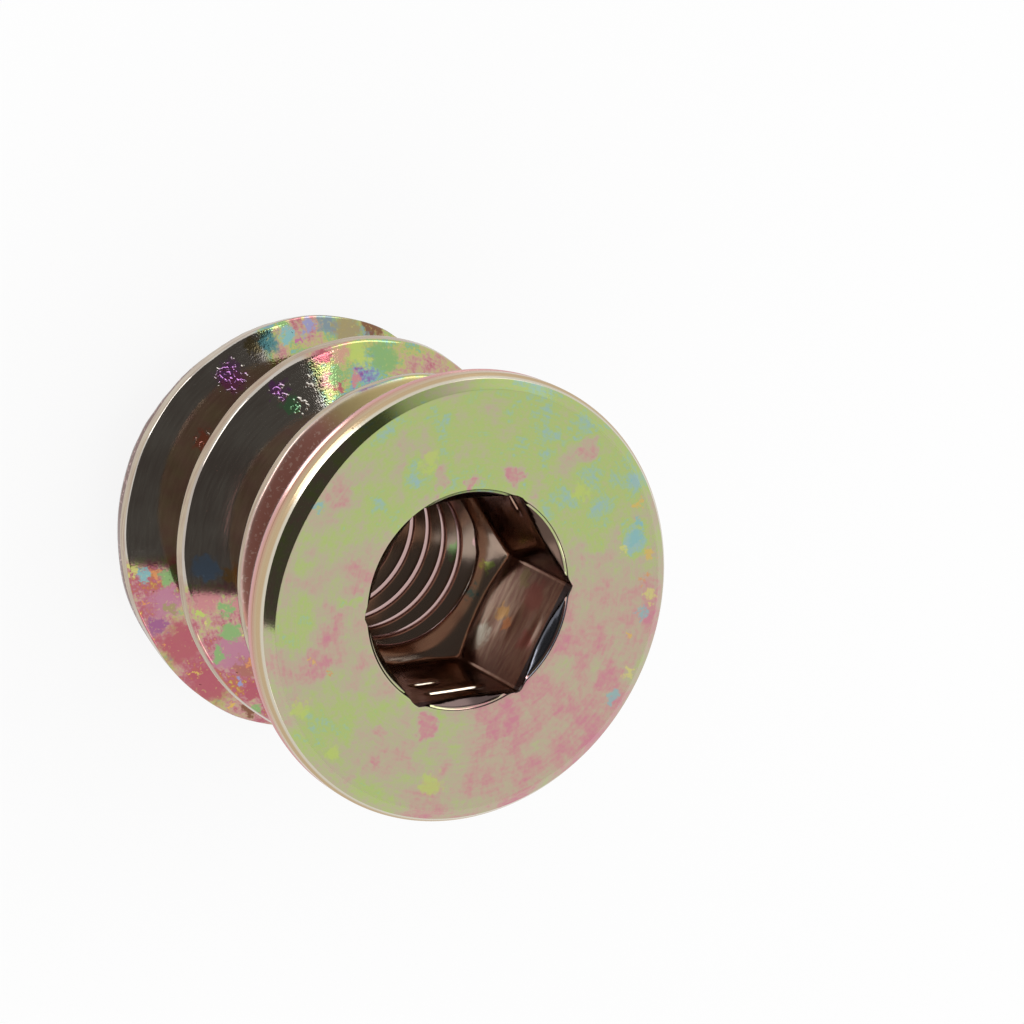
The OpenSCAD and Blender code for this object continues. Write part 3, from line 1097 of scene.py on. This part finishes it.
# %% Camera
AIM_HEIGHT, SHIFT_RIGHT, SHIFT_UP = 8.0, 3.6703, 1.3958
BACK_AZIMUTH, BACK_ELEVATION, ROLL = 147.648, 57.479, 116.968
DISTANCE, FOCAL, SENSOR = 297.040, 351.55, 36
CLIP_START, CLIP_END = 0.005, 5


def toward(azimuth, elevation):
    """A direction from the insert, given by two angles in degrees."""
    a, e = math.radians(azimuth), math.radians(elevation)
    return Vector((math.cos(a) * math.cos(e), math.sin(a) * math.cos(e), math.sin(e)))


back = toward(BACK_AZIMUTH, BACK_ELEVATION)
level = Vector((0, 0, 1)).cross(back).normalized()
right = Matrix.Rotation(math.radians(ROLL), 3, back) @ level
up = back.cross(right)
eye = Vector((0, 0, AIM_HEIGHT)) + right * SHIFT_RIGHT + up * SHIFT_UP + back * DISTANCE

camera = new_object("camera", bpy.data.cameras.new("camera"))
axes = Matrix((right, up, back)).transposed().to_4x4()
camera.matrix_world = Matrix.Translation(eye * MM) @ axes
camera.data.lens, camera.data.sensor_width = FOCAL, SENSOR
camera.data.clip_start, camera.data.clip_end = CLIP_START, CLIP_END
bpy.context.scene.camera = camera
print("camera at", [round(v, 1) for v in eye], "mm")

# %% [markdown]
# ## Floor and light
# Bright metal shows its surroundings more than itself. A pale floor and a pale room make it light
# all over and flat, so a dark card hangs over the insert: the flanks that tilt toward it turn dark
# with a hard edge, and their shape can be read. Small lamps draw bright lines along the crests.

# %% Floor
def staged(name, corners, faces, material):
    """A mesh that isn't part of the object."""
    shape = bpy.data.meshes.new(name)
    shape.from_pydata(corners, [], faces)
    shape.materials.append(material)
    item = new_object(name, shape)
    return item


def surface(material, wire):
    """Puts a shader's wire into the material's output."""
    join(material.node_tree.nodes["Material Output"].inputs["Surface"], wire)


FLOOR_HALF, PAPER, GLOW = 2.0, (0.9, 0.9, 0.9), 0.85
paper, shader, tree = new_material("pale_paper")
feed(shader, Base_Color=PAPER, Roughness=0.8)
seen = tree.node("LightPath", out="Is Camera Ray")
mirrored = Wire(seen.socket.node.outputs["Is Glossy Ray"])
through = Wire(seen.socket.node.outputs["Is Transmission Ray"])
white = tree.node("Emission", sockets={"Color": (1, 1, 1), "Strength": 1.0})
share = (seen + mirrored + through).smaller(1.0) * GLOW
surface(paper, tree.node("MixShader", sockets={0: share, 1: tree, 2: white}))
square = [(x * FLOOR_HALF, y * FLOOR_HALF, 0) for x, y in ((-1, -1), (1, -1), (1, 1), (-1, 1))]
staged("floor", square, [(0, 1, 2, 3)], paper)
print("floor", 2 * FLOOR_HALF, "m wide")

# %% Dark card
CENTRE = Vector((0, 0, 7 * MM))
CARD_AWAY, LAMP_AWAY = 0.4, 0.35
felt, _, tree = new_material("black_felt")
FELT = (0.085, 0.08, 0.075)
surface(felt, tree.node("Emission", sockets={"Color": FELT, "Strength": 1.0}))
# The card's outline as directions from the insert, and the one in its middle
CARD_MIDDLE = (150, 58)
CARD_EDGE = [(41, 64), (42, 55), (46, 47), (62, 40), (82, 33), (112, 28), (140, 26), (165, 27),
             (185, 34), (198, 45), (206, 55), (208, 64), (224, 74), (300, 84), (20, 80), (38, 72)]
corners = [CENTRE + toward(*way) * CARD_AWAY for way in [CARD_MIDDLE, *CARD_EDGE]]
fan = [(0, 1 + i, 1 + (i + 1) % len(CARD_EDGE)) for i in range(len(CARD_EDGE))]
dark_card = staged("dark_card", corners, fan, felt)
dark_card.visible_camera = dark_card.visible_diffuse = dark_card.visible_shadow = False
print("dark card has", len(CARD_EDGE), "corners")


# %% Lamps
def lamp(name, azimuth, elevation, width, height, radiance):
    """A softbox that looks at the insert. Its radiance is what a mirror shows of it; 1 is white."""
    data = bpy.data.lights.new(name, "AREA")
    data.shape, data.size, data.size_y = "RECTANGLE", width, height
    data.energy = radiance * math.pi * width * height
    item = new_object(name, data)
    way = toward(azimuth, elevation)
    item.location = CENTRE + way * LAMP_AWAY
    item.rotation_mode = "QUATERNION"
    item.rotation_quaternion = way.to_track_quat("Z", "Y")


lamp("strip_behind", 125, 13, 0.20, 0.07, 4.0)
lamp("strip_right", 50, 12, 0.16, 0.14, 1.6)
lamp("strip_left", -136, 22, 0.08, 0.08, 1.4)
lamp("glint", 49, 46, 0.03, 0.03, 4.0)

# %% World
world = bpy.data.worlds.new("pale_room")
world.use_nodes = True
bpy.context.scene.world = world
feed(world.node_tree.nodes["Background"], Color=(1, 1, 1), Strength=1.0)
bpy.context.scene.view_settings.view_transform = "Standard"
print("world", world.name)
